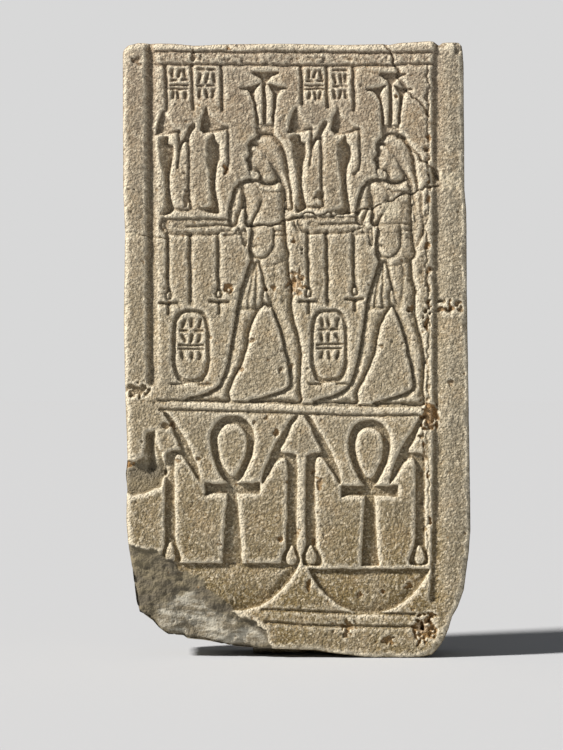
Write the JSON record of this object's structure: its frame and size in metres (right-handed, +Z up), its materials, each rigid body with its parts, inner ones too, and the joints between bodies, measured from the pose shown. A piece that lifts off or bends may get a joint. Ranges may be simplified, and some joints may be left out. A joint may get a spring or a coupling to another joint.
{
  "type": "carved stone stele",
  "caption": "Upright slab of sandstone with sunk relief: striding bearers with jars over a frieze of signs on baskets; it stands on its underside.",
  "frame": {"origin": "middle of the bounding box in plan, at the level the slab stands on", "axes": "+Z up, +X to the right seen from the carved face, carved face towards -Y"},
  "size_m": [0.5572, 0.13, 0.988],
  "materials": {
    "stone": "weathered granular sandstone"
  },
  "bodies": {
    "root": {"stele_slab": "stone"}
  },
  "joints": []
}
